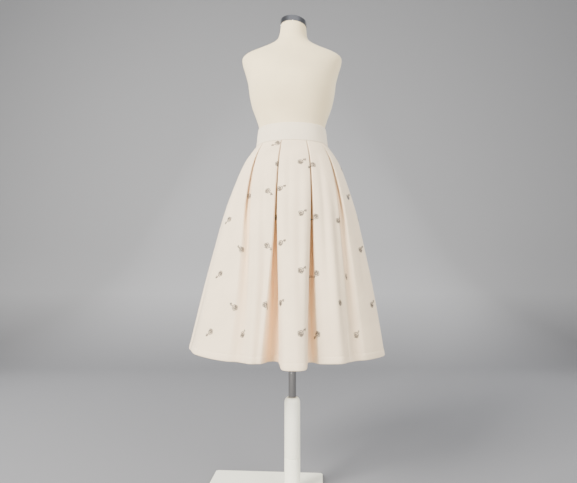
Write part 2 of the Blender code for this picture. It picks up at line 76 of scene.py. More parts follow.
# Dress form: one row for each height
FORM_SECTIONS = (
    # z, half width, front, back
    (0.952, 0.1400, 0.086, 0.090),
    (0.958, 0.1510, 0.096, 0.100),
    (0.975, 0.1580, 0.102, 0.106),
    (1.030, 0.1640, 0.106, 0.112),
    (1.085, 0.1540, 0.102, 0.106),
    (1.140, 0.1320, 0.0935, 0.0950),
    (1.193, 0.1200, 0.0875, 0.0875),
    (1.262, 0.1188, 0.0888, 0.0888),
    (1.300, 0.1290, 0.097, 0.092),
    (1.345, 0.1450, 0.112, 0.098),
    (1.390, 0.1550, 0.121, 0.104),
    (1.435, 0.1610, 0.116, 0.108),
    (1.480, 0.1730, 0.098, 0.106),
    (1.512, 0.1820, 0.080, 0.096),
    (1.534, 0.1800, 0.066, 0.085),
    (1.550, 0.1580, 0.058, 0.076),
    (1.564, 0.1200, 0.055, 0.068),
    (1.580, 0.0800, 0.055, 0.060),
    (1.596, 0.0600, 0.054, 0.052),
    (1.618, 0.0515, 0.053, 0.044),
    (1.651, 0.0472, 0.052, 0.038),
)
NECK_FOOT_Z = 1.55
NECK_LEAN = 0.0055
NECK_START_Z = 1.60
NECK_TILT = math.radians(-6.0)

# Waistband and skirt
BAND_CLOTH = 0.0032
BAND_TOP_SIZE = (0.1209, 0.0909)
BAND_FOOT_SIZE = (0.1279, 0.0956)
ZIP_GAP = 0.0008
CLOTH = 0.0020
LAYER = 0.0028
HEM_EXTRA = 0.0012
HEM_LEAN = -0.0185
HEM_RISE = 0.014
HEM_DIP = 0.008
DIP_REACH = 0.6
POST_CAP_ROUNDING = (0.0105, 0.018)
POST_GROOVE = 0.0018
ROUNDNESS = 2.15
SPREAD = (
    # drop, half width, front, back
    (0.000, 0.1285, 0.0965, 0.0965),
    (0.020, 0.1430, 0.1040, 0.1050),
    (0.054, 0.1650, 0.1170, 0.1200),
    (0.100, 0.1850, 0.1330, 0.1390),
    (0.170, 0.2090, 0.1530, 0.1610),
    (0.250, 0.2320, 0.1720, 0.1820),
    (0.370, 0.2580, 0.1930, 0.2050),
    (0.480, 0.2810, 0.2100, 0.2230),
    (0.600, 0.3040, 0.2260, 0.2400),
    (0.722, 0.3260, 0.2400, 0.2540),
)
PLEAT_COLUMNS = (
    "at_seam", "at_hem", "mouth_mid", "mouth_hem", "depth_mid", "depth_hem",
    "open_by", "soft_left", "soft_right",
)
PLEATS = {
    "back_left_inner":  (0.065, 0.056, 0.010, 0.044, 0.036, 0.050, 0.85, 0.3, 0.7),
    "back_left_outer":  (0.208, 0.158, 0.030, 0.080, 0.022, 0.016, 0.50, 1.0, 1.0),
    "left_outer":       (0.345, 0.416, 0.032, 0.056, 0.016, 0.008, 0.50, 1.0, 1.0),
    "left_inner":       (0.449, 0.473, 0.014, 0.057, 0.038, 0.050, 0.85, 1.0, 0.0),
    "right_inner":      (0.569, 0.543, 0.013, 0.036, 0.038, 0.030, 0.85, 0.0, 1.0),
    "right_outer":      (0.656, 0.624, 0.036, 0.066, 0.016, 0.008, 0.50, 1.0, 1.0),
    "back_right_outer": (0.792, 0.842, 0.030, 0.080, 0.022, 0.016, 0.50, 1.0, 1.0),
    "back_right_inner": (0.935, 0.946, 0.010, 0.044, 0.036, 0.050, 0.85, 0.7, 0.3),
}
DRIFT = 2.2
PANEL_CROWNS = (0.030, 0.014, 0.006, 0.006, 0.054, 0.012, 0.006, 0.014)
PANEL_BOXY = (2, 2, 2, 2, 6, 2, 2, 2)
MID_LEVEL = 0.45
SLIT = 0.0034
UNDERLAY = 0.026
PANEL_POINTS = 7
PLEAT_POINTS = 13
BLOCK = PANEL_POINTS + PLEAT_POINTS
MIDDLE = PANEL_POINTS // 2
PIECES = {
    "skirt_back_left": (0, 2),
    "skirt_front": (2, 6),
    "skirt_back_right": (6, 8),
}
FULL_SHADE_DEPTH = 0.034           # a fold this deep has the full painted shade, a warm tan
SHADE_FADE = 0.45             # the painted shade that is gone at the hem, where the pleats are open

# Creases: the panel, the place across it from -1 to 1, from which level to which, how far it
# slants, its width and its push, which is negative for a trough
CREASE_COLUMNS = ("panel", "across", "top", "foot", "slant", "width", "push")
CREASES = (
    (4, -0.35, 0.02, 0.55, 0.10, 0.0090, -0.0026),
    (4, 0.30, 0.10, 0.80, -0.15, 0.0110, -0.0031),
    (4, 0.05, 0.45, 1.10, 0.10, 0.0140, 0.0035),
    (3, 0.10, 0.03, 0.60, 0.20, 0.0100, -0.0036),
    (3, -0.30, 0.25, 1.10, 0.05, 0.0150, 0.0060),
    (3, 0.55, 0.35, 1.15, 0.00, 0.0110, -0.0044),
    (2, 0.70, 0.10, 0.70, 0.20, 0.0160, -0.0035),
    (2, 0.35, 0.25, 1.15, 0.10, 0.0260, 0.0060),
    (2, 0.05, 0.30, 1.20, 0.05, 0.0220, -0.0050),
    (2, -0.30, 0.20, 1.15, -0.05, 0.0270, 0.0055),
    (2, -0.65, 0.30, 1.10, -0.10, 0.0200, -0.0045),
    (5, -0.25, 0.04, 0.70, 0.15, 0.0110, -0.0040),
    (5, 0.30, 0.30, 1.20, 0.10, 0.0190, 0.0080),
    (5, 0.68, 0.20, 0.95, -0.05, 0.0120, -0.0048),
    (6, -0.70, 0.12, 0.80, -0.15, 0.0170, -0.0035),
    (6, -0.35, 0.25, 1.15, -0.10, 0.0250, 0.0055),
    (6, 0.00, 0.35, 1.20, 0.05, 0.0210, -0.0048),
    (6, 0.35, 0.20, 1.15, 0.00, 0.0260, 0.0058),
    (6, 0.70, 0.30, 1.10, 0.10, 0.0180, -0.0040),
    (7, -0.40, 0.10, 0.95, 0.10, 0.0170, -0.0034),
    (7, 0.20, 0.30, 1.20, 0.00, 0.0220, 0.0044),
    (1, -0.30, 0.15, 1.05, -0.10, 0.0180, -0.0036),
    (1, 0.35, 0.28, 1.20, 0.05, 0.0230, 0.0045),
    (0, -0.45, 0.10, 0.90, 0.05, 0.0160, -0.0028),
    (0, 0.45, 0.20, 1.10, -0.05, 0.0190, -0.0032),
)

# Embroidered flowers: one row for each column of them on the front, with its share at the
# seam and at the hem, the first flower's drop, how many there are and where the stem points
MOTIF_PITCH = 0.181
MOTIF_COLUMNS = ("at_seam", "at_hem", "first_drop", "count", "stem_degrees")
MOTIFS_IN_FRONT = (
    (0.531, 0.520, 0.086, 4, 32),
    (0.4535, 0.4885, 0.182, 3, 28),
    (0.577, 0.551, 0.094, 4, 215),
    (0.600, 0.629, 0.284, 3, 40),
    (0.680, 0.684, 0.194, 3, 35),
    (0.612, 0.594, 0.545, 1, -30),
    (0.414, 0.461, 0.188, 3, -42),
    (0.353, 0.402, 0.198, 3, 140),
    (0.290, 0.357, 0.274, 3, 215),
    (0.400, 0.421, 0.640, 1, 50),
    (0.443, 0.478, 0.092, 2, 40),
    (0.434, 0.434, 0.011, 1, 200),
)
BACK_SHARES = (0.72, 0.77, 0.82, 0.875, 0.92, 0.965, 1.01, 1.055, 1.10, 1.15, 1.20, 1.25)
BACK_STEMS = (35, 215, -40, 140)

# Camera: where the photographer stood
CAMERA_PLACE = (-0.013, -1.53, 0.707)
CAMERA_PITCH = math.radians(5.5)
CAMERA_LENS = 27.0
CAMERA_SENSOR = 36.0


class SkirtSizes(PropertyGroup):
    """Sizes of the cloth's detail."""

    refine: IntProperty(
        name="Cloth Fineness", description="Points made from each point of the pattern",
        default=4, min=1, max=8,
    )
    rows: IntProperty(
        name="Cloth Rows", description="Rows of faces from the seam to the hem",
        default=60, min=12, max=120,
    )
    hem_turn: FloatProperty(
        name="Hem Turn", description="Height of the turned-up hem",
        default=0.022, unit="LENGTH",
    )
    bloom: FloatProperty(
        name="Bloom Radius", description="Radius of an embroidered flower",
        default=0.0088, unit="LENGTH",
    )
    thread: FloatProperty(
        name="Thread Radius", description="Radius of the embroidery thread",
        default=0.0010, unit="LENGTH",
    )
    creases: FloatProperty(
        name="Creases", description="How strongly the creases push the cloth",
        default=1.0, min=0.0, max=3.0,
    )


class SkirtColours(PropertyGroup):
    """Colours of the finishes, as linear light."""

    cloth: FloatVectorProperty(
        name="Cloth", description="Colour of the cream cloth", subtype="COLOR",
        size=3, default=(0.96, 0.77, 0.53), min=0, max=1,
    )
    # painted shade: the warm tan of shade and bounced light deep in a pleat, blended into the cloth's colour
    pleat_shade: FloatVectorProperty(
        name="Fold", description="Warmer colour of the cloth deep in a pleat", subtype="COLOR",
        size=3, default=(0.80, 0.49, 0.22), min=0, max=1,
    )
    band: FloatVectorProperty(
        name="Waistband", description="Colour of the waistband", subtype="COLOR",
        size=3, default=(0.93, 0.79, 0.58), min=0, max=1,
    )
    thread: FloatVectorProperty(
        name="Thread", description="Colour of the embroidery thread", subtype="COLOR",
        size=3, default=(0.085, 0.066, 0.052), min=0, max=1,
    )
    linen: FloatVectorProperty(
        name="Linen", description="Colour of the form's cover", subtype="COLOR",
        size=3, default=(0.95, 0.78, 0.47), min=0, max=1,
    )
    paint: FloatVectorProperty(
        name="Paint", description="Colour of the stand's paint", subtype="COLOR",
        size=3, default=(0.94, 0.92, 0.76), min=0, max=1,
    )
    floor: FloatVectorProperty(
        name="Floor", description="Colour of the floor", subtype="COLOR",
        size=3, default=(0.19, 0.19, 0.195), min=0, max=1,
    )
    wall: FloatVectorProperty(
        name="Wall", description="Colour of the wall", subtype="COLOR",
        size=3, default=(0.36, 0.36, 0.365), min=0, max=1,
    )


def sizes():
    return bpy.context.scene.skirt_sizes


def colours():
    return bpy.context.scene.skirt_colours


# Materials

def new_material(name, colour, roughness, metallic=0.0):
    made = bpy.data.materials.new(name)
    made.use_nodes = True
    shader = made.node_tree.nodes["Principled BSDF"]
    shader.inputs["Base Color"].default_value = (*colour, 1.0)
    shader.inputs["Roughness"].default_value = roughness
    shader.inputs["Metallic"].default_value = metallic
    return made, shader


def add_node(material, kind, settings=(), **values):
    """A node of a kind, with its properties from settings and its sockets from values."""
    node = material.node_tree.nodes.new(kind)
    for name, value in dict(settings).items():
        setattr(node, name, value)
    for name, value in values.items():
        node.inputs[name.replace("_", " ")].default_value = value
    return node


def join_up(material, *links):
    for start, end in links:
        material.node_tree.links.new(start, end)


def mixed_colour(material, factor, first, second, blend="MIX"):
    """A colour mix whose inputs are sockets or colours; returns the node."""
    mix = add_node(material, "ShaderNodeMix", {"data_type": "RGBA", "blend_type": blend})
    for socket, value in ((mix.inputs["Factor"], factor), (mix.inputs[6], first), (mix.inputs[7], second)):
        if isinstance(value, bpy.types.NodeSocket):
            material.node_tree.links.new(value, socket)
        elif isinstance(value, float):
            socket.default_value = value
        else:
            socket.default_value = (*value, 1.0)
    return mix


def woven(name, colour, thread_width, slub, pleat_shade_colour=None, coordinates="UV"):
    """Plain-woven cloth: crossing threads, slubs, a little unevenness of colour, painted shade between the
    threads and, when a pleat shade colour is given, painted shade deep in the pleats.
    """
    made, shader = new_material(name, colour, 0.86)
    shader.inputs["Sheen Weight"].default_value = 0.22
    shader.inputs["Sheen Roughness"].default_value = 0.45
    shader.inputs["Specular IOR Level"].default_value = 0.25
    place = add_node(made, "ShaderNodeTexCoord")
    across = 0.314 / thread_width
    warp = add_node(
        made, "ShaderNodeTexWave", {"bands_direction": "X"}, Scale=across, Distortion=0.6, Detail=1.0,
    )
    weft = add_node(
        made, "ShaderNodeTexWave", {"bands_direction": "Y" if coordinates == "UV" else "Z"},
        Scale=across, Distortion=0.6, Detail=1.0,
    )
    slubs = add_node(made, "ShaderNodeTexNoise", Scale=slub, Detail=4.0, Roughness=0.65)
    cloudy = add_node(made, "ShaderNodeTexNoise", Scale=9.0, Detail=3.0)
    crossing = add_node(made, "ShaderNodeMath", {"operation": "MULTIPLY"})
    height = add_node(made, "ShaderNodeMath", {"operation": "MULTIPLY_ADD"})
    height.inputs[1].default_value = 0.5
    bump = add_node(made, "ShaderNodeBump", Strength=0.45, Distance=0.0004)
    source = place.outputs[coordinates]
    join_up(
        made,
        (source, warp.inputs["Vector"]), (source, weft.inputs["Vector"]),
        (source, slubs.inputs["Vector"]), (source, cloudy.inputs["Vector"]),
        (warp.outputs["Fac"], crossing.inputs[0]), (weft.outputs["Fac"], crossing.inputs[1]),
        (crossing.outputs[0], height.inputs[0]), (slubs.outputs["Fac"], height.inputs[2]),
        (height.outputs[0], bump.inputs["Height"]), (bump.outputs["Normal"], shader.inputs["Normal"]),
    )
    darker = [c * 0.93 for c in colour]
    tone = add_node(made, "ShaderNodeMapRange", From_Min=0.35, From_Max=0.65)
    join_up(made, (cloudy.outputs["Fac"], tone.inputs["Value"]))
    base = mixed_colour(made, tone.outputs["Result"], darker, colour)
    # painted shade: the weave is darker where its bump is low, between the threads
    threads = mixed_colour(made, crossing.outputs[0], (0.94, 0.94, 0.93), (1.0, 1.0, 1.0))
    result = mixed_colour(made, 1.0, base.outputs[2], threads.outputs[2], "MULTIPLY")
    # painted shade: the colour goes towards the warm pleat shade colour as far as the point lies deep in a
    # pleat
    if pleat_shade_colour:
        depth = add_node(made, "ShaderNodeAttribute", {"attribute_name": "pleat_shade"})
        result = mixed_colour(made, depth.outputs["Fac"], result.outputs[2], pleat_shade_colour)
    join_up(made, (result.outputs[2], shader.inputs["Base Color"]))
    return made


def thread_material():
    made, shader = new_material("embroidery_thread", colours().thread, 0.55)
    place = add_node(made, "ShaderNodeTexCoord")
    twist = add_node(made, "ShaderNodeTexNoise", Scale=900.0, Detail=2.0)
    # painted highlight and shade: the thread's colour follows the noise of its bump, lighter on the raised
    # parts and darker in the low ones
    tone = mixed_colour(
        made, twist.outputs["Fac"], [c * 0.75 for c in colours().thread],
        [min(1.0, c * 1.35) for c in colours().thread],
    )
    bump = add_node(made, "ShaderNodeBump", Strength=0.5, Distance=0.0003)
    join_up(
        made, (place.outputs["Object"], twist.inputs["Vector"]),
        (twist.outputs["Fac"], bump.inputs["Height"]), (bump.outputs["Normal"], shader.inputs["Normal"]),
        (tone.outputs[2], shader.inputs["Base Color"]),
    )
    return made


def paint_material():
    """Powder coat: a faint orange-peel bump and a few duller patches."""
    made, shader = new_material("white_powder_coat", colours().paint, 0.38)
    place = add_node(made, "ShaderNodeTexCoord")
    peel = add_node(made, "ShaderNodeTexNoise", Scale=420.0, Detail=2.0)
    patches = add_node(made, "ShaderNodeTexNoise", Scale=14.0, Detail=4.0)
    rough = add_node(made, "ShaderNodeMapRange", To_Min=0.30, To_Max=0.50)
    tone = mixed_colour(
        made, patches.outputs["Fac"], [c * 0.95 for c in colours().paint], colours().paint,
    )
    bump = add_node(made, "ShaderNodeBump", Strength=0.12, Distance=0.0003)
    join_up(
        made, (place.outputs["Object"], peel.inputs["Vector"]),
        (place.outputs["Object"], patches.inputs["Vector"]),
        (patches.outputs["Fac"], rough.inputs["Value"]), (rough.outputs["Result"], shader.inputs["Roughness"]),
        (peel.outputs["Fac"], bump.inputs["Height"]), (bump.outputs["Normal"], shader.inputs["Normal"]),
        (tone.outputs[2], shader.inputs["Base Color"]),
    )
    return made


def metal_material(name, colour, roughness):
    """Polished metal with fine marks along its length."""
    made, shader = new_material(name, colour, roughness, 1.0)
    place = add_node(made, "ShaderNodeTexCoord")
    stretch = add_node(made, "ShaderNodeMapping", Scale=(300.0, 300.0, 12.0))
    marks = add_node(made, "ShaderNodeTexNoise", Scale=1.0, Detail=3.0)
    rough = add_node(made, "ShaderNodeMapRange", To_Min=roughness * 0.7, To_Max=roughness * 1.5)
    bump = add_node(made, "ShaderNodeBump", Strength=0.05, Distance=0.0002)
    join_up(
        made, (place.outputs["Object"], stretch.inputs["Vector"]),
        (stretch.outputs["Vector"], marks.inputs["Vector"]), (marks.outputs["Fac"], rough.inputs["Value"]),
        (rough.outputs["Result"], shader.inputs["Roughness"]),
        (marks.outputs["Fac"], bump.inputs["Height"]), (bump.outputs["Normal"], shader.inputs["Normal"]),
    )
    return made


# Shape of the cloth, as in the solids

def blend_rows(rows, at):
    """The row at a height between two rows of a table, by a smooth curve through them."""
    places = [row[0] for row in rows]
    if at <= places[0]:
        return list(rows[0][1:])
    if at >= places[-1]:
        return list(rows[-1][1:])
    i = bisect.bisect_right(places, at) - 1
    step = places[i + 1] - places[i]
    t = (at - places[i]) / step
    made = []
    for column in range(1, len(rows[0])):
        slopes = []
        for n in (i, i + 1):
            low, high = max(n - 1, 0), min(n + 1, len(rows) - 1)
            slopes.append((rows[high][column] - rows[low][column]) / (places[high] - places[low]))
        start, end = rows[i][column], rows[i + 1][column]
        made.append(
            (2 * t**3 - 3 * t**2 + 1) * start + (t**3 - 2 * t**2 + t) * step * slopes[0]
            + (3 * t**2 - 2 * t**3) * end + (t**3 - t**2) * step * slopes[1]
        )
    return made


def ring_point(turn, half_width, front, back):
    """A point of a super-ellipse; turn runs from 0 at the back, by the left, to 1."""
    angle = 2 * math.pi * turn
    side, face = -math.sin(angle), math.cos(angle)
    power = 2 / ROUNDNESS
    depth = back if face > 0 else front
    return Vector((
        half_width * math.copysign(abs(side) ** power, side),
        depth * math.copysign(abs(face) ** power, face),
    ))


class Ring:
    """A super-ellipse that is read by the share of its length, 0 at the centre back."""

    STEPS = 360

    def __init__(self, half_width, front, back, shift_x=0.0):
        self.points = [
            ring_point(n / self.STEPS, half_width, front, back) + Vector((shift_x, 0.0))
            for n in range(self.STEPS + 1)
        ]
        self.run = [0.0]
        for a, b in zip(self.points, self.points[1:]):
            self.run.append(self.run[-1] + (b - a).length)
        self.length = self.run[-1]

    def place(self, share):
        """(point, unit outward normal) at a share of the way round."""
        want = (share % 1.0) * self.length
        high = min(max(bisect.bisect_right(self.run, want), 1), self.STEPS)
        low = high - 1
        a, b = self.points[low], self.points[high]
        t = (want - self.run[low]) / (self.run[high] - self.run[low])
        before = self.points[low - 1 if low else self.STEPS - 1]
        after = self.points[high + 1 if high < self.STEPS else 1]
        tangent = ((b - before) * (1 - t) + (after - a) * t).normalized()
        return a.lerp(b, t), Vector((tangent.y, -tangent.x))


def ease(start, end, value):
    t = max(0.0, min(1.0, (value - start) / (end - start)))
    return t * t * (3 - 2 * t)


def drifted(at_seam, at_hem, level):
    return at_hem + (at_seam - at_hem) * (1 - min(level, 1.0)) ** DRIFT


def through_mid(at_seam, mid, at_hem, level):
    """A size that is at_seam at 0, mid at MID_LEVEL and at_hem at 1."""
    return blend_rows(((0.0, at_seam), (MID_LEVEL, mid), (1.0, at_hem)), level)[0]


def skirt_ring(level):
    half_width, front, back = blend_rows(SPREAD, level * SKIRT_DROP)
    return Ring(half_width, front, back, HEM_LEAN * level)


def pleat_half(mouth, depth, opened, softness):
    """From a panel's edge to the pleat's middle: folded when shut, then steep or soft."""
    under = UNDERLAY + mouth
    turn = LAYER / 2
    layer = depth / 2
    folded = (
        (-mouth - turn, 0.0), (-mouth, layer / 2), (-mouth - turn, layer), (-under + turn, layer),
        (-under, layer + layer / 2), (-under + turn, depth), (0.0, depth),
    )
    steep = (
        (-mouth - turn, 0.0), (-mouth, 0.08 * depth), (-0.96 * mouth, 0.30 * depth),
        (-0.88 * mouth, 0.60 * depth), (-0.74 * mouth, 0.84 * depth),
        (-0.45 * mouth, 0.97 * depth), (0.0, depth),
    )
    soft = (
        (-mouth - turn, 0.0), (-0.94 * mouth, 0.05 * depth), (-0.78 * mouth, 0.22 * depth),
        (-0.60 * mouth, 0.47 * depth), (-0.41 * mouth, 0.73 * depth),
        (-0.21 * mouth, 0.93 * depth), (0.0, depth),
    )
    shares = (1 - opened, opened * (1 - softness), opened * softness)
    return [
        tuple(sum(share * point[n] for share, point in zip(shares, points)) for n in (0, 1))
        for points in zip(folded, steep, soft)
    ]


def pleat_outline(row, level):
    """One inverted pleat as (along, inward) pairs, from one panel's edge to the next."""
    mouth = through_mid(SLIT, row["mouth_mid"], row["mouth_hem"], level) / 2
    depth = through_mid(2 * LAYER, row["depth_mid"], row["depth_hem"], level)
    opened = ease(0.0, row["open_by"], level)
    left = pleat_half(mouth, depth, opened, row["soft_left"])
    right = pleat_half(mouth, depth, opened, row["soft_right"])
    return left + [(-along, inward) for along, inward in reversed(right[:-1])]


def cloth_line(level):
    """Mid-surface points round the skirt, each with how deep it lies in a pleat."""
    ring = skirt_ring(level)
    pleats = []
    for values in PLEATS.values():
        row = dict(zip(PLEAT_COLUMNS, values))
        centre = drifted(row["at_seam"], row["at_hem"], level)
        outline = pleat_outline(row, level)
        reach = -outline[0][0] / ring.length
        pleats.append((centre, outline, centre - reach, centre + reach))
    made = []
    for n, (centre, outline, near, _) in enumerate(pleats):
        crown = PANEL_CROWNS[n] * level**1.5
        start = pleats[n - 1][3] - (1.0 if n == 0 else 0.0)
        for step in range(1, PANEL_POINTS + 1):
            across = -math.cos(math.pi * step / (PANEL_POINTS + 1))
            point, outward = ring.place((start + near) / 2 + across * (near - start) / 2)
            made.append((point + outward * crown * (1 - abs(across) ** PANEL_BOXY[n]), 0.0))
        for along, inward in outline:
            point, outward = ring.place(centre + along / ring.length)
            made.append((point - outward * inward, inward))
    return made


def smooth_loop(line, count):
    """A closed centripetal curve through the points, with count steps between each two."""
    made = []
    total = len(line)
    for n in range(total):
        four = [line[(n + k) % total] for k in (-1, 0, 1, 2)]
        p = [point for point, _ in four]
        t = [0.0]
        for a, b in zip(p, p[1:]):
            t.append(t[-1] + max((b - a).length, 1e-6) ** 0.5)
        for k in range(count):
            u = t[1] + (t[2] - t[1]) * k / count
            a1 = p[0].lerp(p[1], (u - t[0]) / (t[1] - t[0]))
            a2 = p[1].lerp(p[2], (u - t[1]) / (t[2] - t[1]))
            a3 = p[2].lerp(p[3], (u - t[2]) / (t[3] - t[2]))
            b1 = a1.lerp(a2, (u - t[0]) / (t[2] - t[0]))
            b2 = a2.lerp(a3, (u - t[1]) / (t[3] - t[1]))
            inward = four[1][1] + (four[2][1] - four[1][1]) * k / count
            made.append((b1.lerp(b2, (u - t[1]) / (t[2] - t[1])), inward))
    return made


def normals_of(points, closed=True):
    """Unit outward normals of a line that runs clockwise from above."""
    last = len(points) - 1
    made = []
    for n in range(len(points)):
        before = points[n - 1] if n or closed else points[0]
        after = points[(n + 1) % len(points)] if n < last or closed else points[last]
        along = (after - before).normalized()
        made.append(Vector((along.y, -along.x)))
    return made


def run_of(points):
    run = [0.0]
    for a, b in zip(points, points[1:]):
        run.append(run[-1] + (b - a).length)
    return run


def crease_push(run, level, fineness):
    """How far each point of a level moves outwards for the creases that cross it."""
    push = [0.0] * len(run)
    for values in CREASES:
        row = dict(zip(CREASE_COLUMNS, values))
        if not row["top"] < level < row["foot"]:
            continue
        along = (level - row["top"]) / (row["foot"] - row["top"])
        strength = sizes().creases * row["push"] * math.sin(math.pi * min(along, 1.0)) ** 0.8
        across = row["across"] + row["slant"] * (along - 0.5)
        first = row["panel"] * BLOCK * fineness
        last = (row["panel"] * BLOCK + PANEL_POINTS - 1) * fineness
        centre = run[first] + (run[last] - run[first]) * (across + 1) / 2
        for n in range(max(first - 12, 0), min(last + 12, len(run) - 1)):
            push[n] += strength * math.exp(-((run[n] - centre) / row["width"]) ** 2)
    return push


def hang(point, level):
    """A point of the skirt in space, with the hem's rise and dip."""
    half_width, front, _ = SPREAD[-1][1:]
    z = SKIRT_TOP_Z - level * SKIRT_DROP
    z += HEM_RISE * level**3 * max(0.0, -point.x / half_width) ** 3
    z -= HEM_DIP * ease(front, front + DIP_REACH * PANEL_CROWNS[4], -point.y)
    return Vector((point.x, point.y, z))


class ClothLevel:
    """The fine line of the cloth at one level, with its outer and inner face."""

    def __init__(self, level, outer, inner):
        fineness = sizes().refine
        line = smooth_loop(cloth_line(level), fineness)
        points = [point for point, _ in line]
        self.level = level
        self.run = run_of(points)
        normals = normals_of(points)
        push = crease_push(self.run, level, fineness)
        points = [p + n * d for p, n, d in zip(points, normals, push)]
        normals = normals_of(points)
        # painted shade: how strongly each point takes the warm pleat shade colour, by how deep it lies in a
        # pleat, less towards the hem
        shade_strength = 1 - SHADE_FADE * level
        self.depth = [shade_strength * min(1.0, inward / FULL_SHADE_DEPTH) for _, inward in line]
        self.outer = [p + n * outer for p, n in zip(points, normals)]
        self.inner = [p - n * inner for p, n in zip(points, normals)]

    def stretch(self, start, end):
        """Length from one point to another, on round past the centre back."""
        count = len(self.run)
        return self.run[end % count] - self.run[start] + (self.run[-1] if end >= count else 0.0)


def cloth_levels():
    """Every level of a piece of the skirt as ClothLevel, from the seam down to the hem."""
    half = CLOTH / 2
    turn = sizes().hem_turn / SKIRT_DROP
    line_width = 0.0016 / SKIRT_DROP
    edge = 0.0012 / SKIRT_DROP
    stitch = 1 - turn
    made = [ClothLevel(0.0, half * 0.7, half * 0.7)]
    rows = sizes().rows
    for n in range(rows + 1):
        level = 0.0012 / SKIRT_DROP + (stitch - 2 * line_width) * (n / rows) ** 1.12
        made.append(ClothLevel(level, half, half))
    thick = half + HEM_EXTRA
    made.append(ClothLevel(stitch - line_width * 0.5, half - 0.0001, half))
    made.append(ClothLevel(stitch, half - 0.0005, thick))
    made.append(ClothLevel(stitch + line_width, half + 0.0003, thick))
    made.append(ClothLevel(stitch + turn * 0.4, half + 0.0007, thick))
    made.append(ClothLevel(stitch + turn * 0.8, half + 0.0006, thick))
    made.append(ClothLevel(1 - edge, half + 0.0003, thick))
    made.append(ClothLevel(1 - edge * 0.3, half * 0.5, thick * 0.7))
    made.append(ClothLevel(1.0, -half * 0.1, thick * 0.3))
    return made


def add_mesh(name, verts, faces, material):
    mesh = bpy.data.meshes.new(name)
    mesh.from_pydata(verts, [], faces)
    mesh.validate()
    mesh.materials.append(material)
    mesh.shade_smooth()
    made = bpy.data.objects.new(name, mesh)
    bpy.context.scene.collection.objects.link(made)
    return made


def set_uv(piece, pairs):
    layer = piece.data.uv_layers.new(name="UVMap")
    for corner in piece.data.loops:
        layer.data[corner.index].uv = pairs[corner.vertex_index]


def skirt_shell(name, first_panel, last_panel, levels, material):
    """A cloth piece as one closed shell: outside, round hem, inside and both seam edges."""
    fineness = sizes().refine
    start = (first_panel * BLOCK + MIDDLE) * fineness
    count = (last_panel - first_panel) * BLOCK * fineness + 1
    total = len(levels[0].outer)
    verts, uvs, shade_amounts = [], [], []
    for item in levels:
        for face in (item.outer, item.inner):
            chosen = [face[(start + k) % total].copy() for k in range(count)]
            chosen[0] += (chosen[1] - chosen[0]).normalized() * SEAM_GAP / 2
            chosen[-1] += (chosen[-2] - chosen[-1]).normalized() * SEAM_GAP / 2
            for k, point in enumerate(chosen):
                n = (start + k) % total
                verts.append(hang(point, item.level))
                uvs.append((item.run[n], item.level * SKIRT_DROP))
                shade_amounts.append(item.depth[n])
    faces = []
    rows = len(levels)

    def at(row, inside, k):
        return (2 * row + inside) * count + k

    for row in range(rows - 1):
        for k in range(count - 1):
            faces.append((at(row + 1, 0, k), at(row + 1, 0, k + 1), at(row, 0, k + 1), at(row, 0, k)))
            faces.append((at(row, 1, k), at(row, 1, k + 1), at(row + 1, 1, k + 1), at(row + 1, 1, k)))
        for k, flip in ((0, False), (count - 1, True)):
            face = (at(row, 0, k), at(row, 1, k), at(row + 1, 1, k), at(row + 1, 0, k))
            faces.append(tuple(reversed(face)) if flip else face)
    for row, flip in ((0, False), (rows - 1, True)):
        for k in range(count - 1):
            face = (at(row, 0, k), at(row, 0, k + 1), at(row, 1, k + 1), at(row, 1, k))
            faces.append(tuple(reversed(face)) if flip else face)
    made = add_mesh(name, verts, faces, material)
    set_uv(made, uvs)
    # painted shade: the share of the warm pleat shade colour at each point, read by the cloth's material
    pleat_shade = made.data.attributes.new("pleat_shade", "FLOAT", "POINT")
    pleat_shade.data.foreach_set("value", shade_amounts)
    return made


def finish_piece(piece, body, slot, *nodes):
    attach(piece, body)
    if nodes:
        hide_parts(*nodes)


# Threads and flowers

class ThreadMesh:
    """Many short threads in one mesh."""

    def __init__(self):
        self.verts, self.faces = [], []

    def lay(self, path, radius):
        """A thread along (point, normal) pairs, with the swell of its stitches."""
        if len(path) < 2:
            return
        first = len(self.verts)
        for n, (point, normal) in enumerate(path):
            before = path[max(n - 1, 0)][0]
            after = path[min(n + 1, len(path) - 1)][0]
            along = (after - before).normalized()
            side = along.cross(normal).normalized()
            swell = radius * (0.78 + 0.30 * abs(math.sin(n * 1.05)))
            end = 0.45 if n in (0, len(path) - 1) else 1.0
            for a, b in ((1.0, 0.15), (0.55, 0.85), (-0.55, 0.85), (-1.0, 0.15), (0.0, -0.35)):
                self.verts.append(point + side * swell * a * end + normal * swell * b * end)
        for n in range(len(path) - 1):
            for k in range(5):
                a, b = first + n * 5 + k, first + n * 5 + (k + 1) % 5
                self.faces.append((a, b, b + 5, a + 5))
        last = first + (len(path) - 1) * 5
        self.faces.append(tuple(first + k for k in reversed(range(5))))
        self.faces.append(tuple(last + k for k in range(5)))


